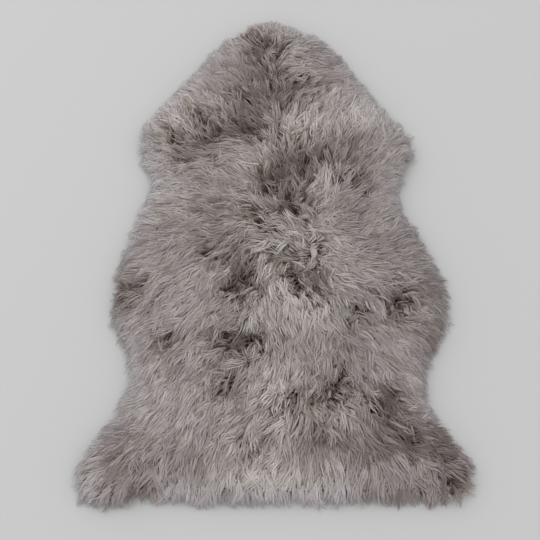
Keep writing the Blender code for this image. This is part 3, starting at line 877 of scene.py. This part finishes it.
mottle_and_painted_light = MOTTLE * noise_map(MOTTLE_SIZE, 41.0)
# painted light and shade along the rim, by which side faces the lamp
mottle_and_painted_light += RIM * (PAINTED_RIM_LIGHT + PAINTED_RIM_LIGHT_ACROSS * slope_x + PAINTED_RIM_LIGHT_ALONG * slope_y)
# the patches add painted shade and light to the wool's own mottle
for x, y, size, lighter in PATCHES:
    mottle_and_painted_light += lighter * np.exp(-((np.hypot(GRID_X - x, GRID_Y - y) / size) ** 2))
print("light and dark patches:", len(PATCHES))

# %% Tones of the wisps
TONES = 16
PLAIN, WARM, PALE, DEEP = range(4)
FAMILIES = 4
MIDDLE_TONE = 0.57
TUFT_SPREAD, WISP_SPREAD = 0.150, 0.02
# painted shade on wisps that end at the brink of a parting
CUT_BACK_SHADE = 0.3
SPINE_WIDTH = 0.13
NECK_FROM, NECK_TO = 0.27, 0.42  # where the warmer wool of the spine ends
WARM_FROM, PALE_FROM, DEEP_FROM = (0.2, 1.0), (0.1, 0.8), (0.10, 0.65)  # drawn between these


def wool_family(x, y, opened, ruffle):
    """Which family of tones each wisp belongs to, by the place where it shows."""
    count = len(x)
    family = np.full(count, PLAIN)
    at_neck = np.clip((y - NECK_FROM) / (NECK_TO - NECK_FROM), 0, 1)
    spine = np.exp(-((x / SPINE_WIDTH) ** 2)) * (1 - 0.9 * at_neck)
    family[0.7 * spine + 0.3 * ruffle > chance.uniform(*WARM_FROM, count)] = WARM
    family[read_map(RIM, x, y) > chance.uniform(*PALE_FROM, count)] = PALE
    # wisps rooted in partings take the deep family, whose dark roots are painted shade
    family[opened > chance.uniform(*DEEP_FROM, count)] = DEEP
    return family


def tone_columns(each, path, habit):
    """Which column of the tone chart each wisp takes: one of the tones of a family."""
    root = path[:, 0, :2].T
    x, y = root + (path[:, -1, :2].T - root) * SEEN_AT
    shade, ruffle, order = (read_map(values, x, y) for values in (SHADE, RUFFLE, ORDER))
    spread = TUFT_SPREAD * np.minimum(each["tone"], 1.0)
    spread = spread + WISP_SPREAD * chance.standard_normal(len(x))
    tone = MIDDLE_TONE + spread * (1.2 + ruffle - 0.8 * order)
    # painted shade: wisps are painted darker in partings, ruffled wool and the gaps of the tail edge
    painted_shade = ruffle + 0.4 * shade + read_map(TAIL_EDGE, x, y)
    tone += read_map(mottle_and_painted_light, x, y) - habit.shading * painted_shade - CUT_BACK_SHADE * each["cut_back"]
    family = wool_family(x, y, read_map(SHADE, *root) + 0.5 * read_map(RUFFLE, *root), ruffle)
    return np.clip((tone * TONES).astype(int), 0, TONES - 1) + TONES * family


print("tone chart:", TONES, "tones in", FAMILIES, "families")

# %% Growing a stretch of the fleece
CHART_MARGIN = 0.06  # of a column, left free on either side of a wisp's strip of the chart
CHART_END = 0.01
GIRTHS = (0.7, 1.3)
SMOOTH_THINNER, CUT_BACK_THINNER = 0.35, 0.5


def wisp_arrays(places, habit):
    """Corners, face corners, face sizes and map places of all wisps of these tufts."""
    path, heading, each = wisp_paths(tuft_traits(places, habit), habit)
    column = tone_columns(each, path, habit)
    count = len(path)
    smooth = read_map(SMOOTH, *path[:, 1, :2].T)
    half_width = habit.girth * chance.uniform(*GIRTHS, count) * (1 - SMOOTH_THINNER * smooth)
    half_width *= 1 - CUT_BACK_THINNER * each["cut_back"]
    points = wisp_corners(path, heading, half_width, habit.stations)
    corners, sizes, around, along = wisp_pattern(habit.stations)
    used = corners[None, :] + points.shape[1] * np.arange(count)[:, None]
    uv = np.empty((count, len(corners), 2))
    strip = CHART_MARGIN + (1 - 2 * CHART_MARGIN) * around
    uv[:, :, 0] = (column[:, None] + strip) / (TONES * FAMILIES)
    uv[:, :, 1] = CHART_END + (1 - 2 * CHART_END) * along
    return points.reshape(-1, 3), used.ravel(), np.tile(sizes, count), uv.reshape(-1, 2)


def wool_piece(name, mesh):
    """A piece of wool that rides on the rug and stands for the slab."""
    mesh.shade_smooth()
    piece = add_object(name, mesh)
    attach(piece, "root")
    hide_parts("fleece")
    return piece


def grow(name, groups):
    """One mesh of wisps from several groups of tufts, each with its habit."""
    points, used, sizes, uv = zip(*(wisp_arrays(places, habit) for places, habit in groups))
    before = np.cumsum([0] + [len(group) for group in points])
    used = np.concatenate([group + start for group, start in zip(used, before)])
    sizes = np.concatenate(sizes)

    mesh = bpy.data.meshes.new(name)
    mesh.vertices.add(before[-1])
    mesh.vertices.foreach_set("co", np.concatenate(points).ravel())
    mesh.loops.add(len(used))
    mesh.loops.foreach_set("vertex_index", used.astype(np.int32))
    mesh.polygons.add(len(sizes))
    starts = np.concatenate(([0], np.cumsum(sizes)[:-1]))
    mesh.polygons.foreach_set("loop_start", starts.astype(np.int32))
    mesh.uv_layers.new(name=UV_NAME).data.foreach_set("uv", np.concatenate(uv).ravel())
    mesh.update(calc_edges=True)
    print(name, "has", int((sizes - 2).sum()), "triangles")
    return wool_piece(name, mesh)


# %% Six stretches of the fleece, from the neck to the tail
STRETCHES = ("neck", "shoulders", "back", "loin", "rump", "tail")
GROUPS = (
    (fill_tufts, FILL), (parting_tufts, IN_PARTING), (cover_tufts, COVER),
    (soft_tufts, SOFT), (edge_tufts, AT_EDGE),
)

fleece_pieces = []
limits = np.quantile(fill_tufts[:, 1], np.linspace(1, 0, len(STRETCHES) + 1))
limits[0], limits[-1] = high[1], low[1]
for stretch, upper, lower in zip(STRETCHES, limits, limits[1:]):
    groups = []
    for places, habit in GROUPS:
        y = places[:, 1]
        groups.append((places[(y <= upper) & (y > lower)], habit))
    fleece_pieces.append(grow(f"wool_{stretch}", groups))

# %% [markdown]
# ## Colour of the wool
#
# The wool is painted darkest and brownest at the root and palest at the tip. The dark roots
# are partly painted shade, of the depth among the locks, and darkest in the deep partings. A
# picture could paint that on, but the map that each wisp carries says it in numbers: its height
# is the way from root to tip, and its columns are the tones. The hairs within the wisp are a
# fine noise stretched along it.

# %% Wool material
# each family's colour at the root, the middle and the tip; the dark roots are partly painted shade
FROM_ROOT_TO_TIP = (
    ((0.27, 0.215, 0.197), (0.473, 0.414, 0.399), (0.585, 0.531, 0.521)),  # plain
    ((0.24, 0.188, 0.152), (0.45, 0.394, 0.358), (0.570, 0.516, 0.484)),  # warm
    ((0.43, 0.378, 0.382), (0.50, 0.451, 0.461), (0.585, 0.538, 0.557)),  # pale
    ((0.098, 0.062, 0.043), (0.27, 0.213, 0.174), (0.575, 0.518, 0.497)),  # deep
)
MIDDLE_AT = 0.45
# the tints that carry a wisp's tone, with the painted light and shade of the patches, the rim and
# the partings
DARKEST, LIGHTEST = (0.34, 0.275, 0.25, 1.0), (1.268, 1.30, 1.303, 1.0)
STRANDS_ACROSS, STRANDS_ALONG = 5.0, 1.4  # hairs in a column of the chart, and along a wisp
STRAND_TONE = 0.25


def wool_material():
    dull = {"Roughness": 0.7, "Diffuse Roughness": 1.0}
    paint = Paint("wool_locks", dull | {"Sheen Weight": 0.2, "Sheen Roughness": 0.5})
    column, along = paint.x_and_y(paint.node("ShaderNodeUVMap", {}, uv_map=UV_NAME))
    column = column * (TONES * FAMILIES)
    warm, pale, deep = (column.math("GREATER_THAN", TONES * family) for family in (WARM, PALE, DEEP))
    tone = (column - TONES * (warm + pale + deep)).math("FLOOR") * (1 / (TONES - 1))
    colours = []
    for root, middle, tip in FROM_ROOT_TO_TIP:
        colours.append(paint.ramp(along, ((0.0, root), (MIDDLE_AT, middle), (1.0, tip))))
    colour = paint.mix(pale, paint.mix(warm, colours[PLAIN], colours[WARM]), colours[PALE])
    colour = paint.mix(deep, colour, colours[DEEP])
    strand_place = paint.place(column * STRANDS_ACROSS, along * STRANDS_ALONG, 0.0)
    strands = paint.noise(strand_place, 1.0, 3.0, 0.6)
    tint = paint.mix(tone + (strands - 0.5) * STRAND_TONE, DARKEST, LIGHTEST)
    paint.feed("Base Color", paint.mix(1.0, colour, tint, "MULTIPLY"))
    paint.bump(strands, 0.25, 0.0004)
    return paint.material


wool = wool_material()
for piece in fleece_pieces:
    piece.data.materials.append(wool)
print("wool material on", len(fleece_pieces), "pieces")

# %% [markdown]
# ## The under-wool
#
# Between the locks one never sees the skin but a dense mat of short crimped wool. To grow that
# too would take far more triangles, so it is one low closed slab, cut from a grid to the rug's
# outline. Where the fleece is closed its painted strands are pale, so that a gap shows more
# wool, and where it is open, and along the tail edge, they are painted dark as shade, so that
# the gap reads as depth.

# %% Shape of the under-wool
MAT_CELL = 0.013
MAT_EDGE = 0.012  # beyond the hide's cut edge
MAT_FOOT = 0.0026
MAT_LIFT = 0.008  # how far its underside rises to the rim
MAT_THINNEST = 0.003
OUTERMOST = MAT_EDGE + 0.6 * MAT_CELL  # the corners of the grid beyond this are cut off


def mat_sheet():
    """A flat grid with the outline of the under-wool."""
    bm = bmesh.new()
    cells = [int((high[i] - low[i]) / MAT_CELL) for i in (0, 1)]
    bmesh.ops.create_grid(bm, x_segments=cells[0], y_segments=cells[1], size=0.5)
    bmesh.ops.scale(bm, verts=bm.verts, vec=(high[0] - low[0], high[1] - low[1], 1.0))
    x, y = np.array([vert.co.xy for vert in bm.verts]).T
    beyond = read_map(BEYOND_HIDE, x, y)
    outer = [vert for vert, distance in zip(bm.verts, beyond) if distance > OUTERMOST]
    bmesh.ops.delete(bm, geom=outer, context="VERTS")
    loose = [vert for vert in bm.verts if not vert.link_faces]
    bmesh.ops.delete(bm, geom=loose, context="VERTS")
    for _ in range(3):
        rim = [vert for vert in bm.verts if vert.is_boundary]
        x, y = np.array([vert.co.xy for vert in rim]).T
        shift = MAT_EDGE - read_map(BEYOND_HIDE, x, y)
        for vert, step, move in zip(rim, read_pair(OUTWARDS, x, y), shift):
            vert.co.xy += Vector(step * move)
    return bm


def mat_mesh():
    """The sheet with its thickness: the top follows the wool, the underside lifts at the rim."""
    bm = mat_sheet()
    raised = bmesh.ops.extrude_face_region(bm, geom=list(bm.faces))
    top = {item for item in raised["geom"] if isinstance(item, bmesh.types.BMVert)}
    x, y = np.array([vert.co.xy for vert in bm.verts]).T
    heights = read_map(TOP, x, y) * read_map(MAT_LEVEL, x, y)
    feet = MAT_FOOT + MAT_LIFT * np.clip(read_map(BEYOND_HIDE, x, y) / MAT_EDGE, 0, 1)
    for vert, height, foot in zip(bm.verts, heights, feet):
        vert.co.z = max(height, foot + MAT_THINNEST) if vert in top else foot
    bmesh.ops.recalc_face_normals(bm, faces=bm.faces)
    mesh = bpy.data.meshes.new("under_wool")
    bm.to_mesh(mesh)
    bm.free()
    return mesh


under_wool = wool_piece("under_wool", mat_mesh())
print("under-wool:", len(under_wool.data.polygons), "faces")

# %% What the under-wool's paint needs to know
OPEN_SHADE_NAME = "ruffle"
LIE_NAMES = ("lie_cosine", "lie_sine")  # of twice the heading, which is the same both ways

x, y = np.array([vert.co.xy for vert in under_wool.data.vertices]).T
# how far the under-wool is painted dark as shade: in disturbed wool and along the tail edge
disturbed = np.clip(1.6 * read_map(RUFFLE, x, y) + read_map(TAIL_EDGE, x, y), 0, 1)
heading = np.arctan2(read_map(LIE_Y + PUSH_Y, x, y), read_map(LIE_X + PUSH_X, x, y))
columns = (disturbed, np.cos(2 * heading), np.sin(2 * heading))
for name, values in zip((OPEN_SHADE_NAME, *LIE_NAMES), columns):
    attribute = under_wool.data.attributes.new(name, "FLOAT", "POINT")
    attribute.data.foreach_set("value", values)
print("disturbed wool over", round(float((disturbed > 0.5).mean() * 100)), "% of the under-wool")

# %% Strands of the under-wool
STREAKS_ALONG, STREAKS_ACROSS = 42.0, 290.0  # strands per metre
DIRECTIONS = 4
# the open wool's dark strands are painted shade of the depth between the locks
OPEN_SHADE_RAMP = ((0.34, (0.026, 0.016, 0.011)), (0.66, (0.120, 0.082, 0.062)))
CALM_RAMP = ((0.36, (0.170, 0.138, 0.127)), (0.64, (0.460, 0.400, 0.380)))


def combed_strands(paint):
    """A noise drawn out along the lie of the wool, from four directions, each where it fits."""
    x, y = paint.x_and_y(paint.here())
    cosine, sine = (paint.attribute(name) for name in LIE_NAMES)
    strands = 0.5
    for direction in range(DIRECTIONS):
        turn = math.pi * direction / DIRECTIONS
        along = x * math.cos(turn) + y * math.sin(turn)
        across = y * math.cos(turn) - x * math.sin(turn)
        fits = cosine * math.cos(2 * turn) + sine * math.sin(2 * turn)
        spot = paint.place(along * STREAKS_ALONG, across * STREAKS_ACROSS, float(direction))
        streak = paint.noise(spot, 1.0, 2.0, 0.5)
        strands = (streak - 0.5) * fits.math("MAXIMUM", 0.0) + strands
    return strands


def mat_material():
    paint = Paint("under_wool", {"Roughness": 0.95})
    strands = combed_strands(paint)
    calm, open_shade = (paint.ramp(strands, stops) for stops in (CALM_RAMP, OPEN_SHADE_RAMP))
    # painted shade: the dark strands where the wool lies open
    paint.feed("Base Color", paint.mix(paint.attribute(OPEN_SHADE_NAME), calm, open_shade))
    paint.bump(strands, 0.9, 0.002)
    return paint.material


under_wool.data.materials.append(mat_material())
print("under-wool's strands in", DIRECTIONS, "directions")

# %% [markdown]
# ## The hide
#
# The flesh side of a tanned skin is suede: pale, matt, with a short nap in lighter and darker
# strokes, cloudy patches and faint wandering veins. The sheet keeps its solid, because none of
# that is deep enough to model, and the material carries it in real sizes.

# %% Suede
SUEDE_DARK, SUEDE_LIGHT = (0.40, 0.315, 0.235), (0.62, 0.525, 0.42)
VEIN_COLOUR = (0.33, 0.25, 0.18, 1.0)
CLOUD_SCALE, VEIN_SCALE, NAP_SCALE = 9.0, 5.0, 420.0  # per metre
VEIN_SHARPNESS = 55.0
VEIN_DEPTH = 0.35


def suede_material():
    paint = Paint("suede", {"Sheen Weight": 0.3})
    place = paint.here()
    clouds = paint.noise(place, CLOUD_SCALE, 4.0, 0.55)
    nap = paint.noise(place, NAP_SCALE, 3.0, 0.7)
    colour = paint.ramp(clouds * 0.8 + nap * 0.2, ((0.3, SUEDE_DARK), (0.7, SUEDE_LIGHT)))
    wander = paint.noise(place, VEIN_SCALE, 3.0, 0.5)
    vein = 1 - (wander - 0.5).math("ABSOLUTE") * VEIN_SHARPNESS
    vein = vein.math("MAXIMUM", 0.0) * VEIN_DEPTH
    paint.feed("Base Color", paint.mix(vein, colour, VEIN_COLOUR))
    paint.feed("Roughness", 0.78 + nap * 0.2)
    paint.bump(nap + clouds * 0.5, 0.35, 0.0008)
    return paint.material


HIDE.data.materials.clear()
HIDE.data.materials.append(suede_material())
x, y = outline.T
hide_area = abs(float(np.sum(x * np.roll(y, -1) - np.roll(x, -1) * y))) / 2
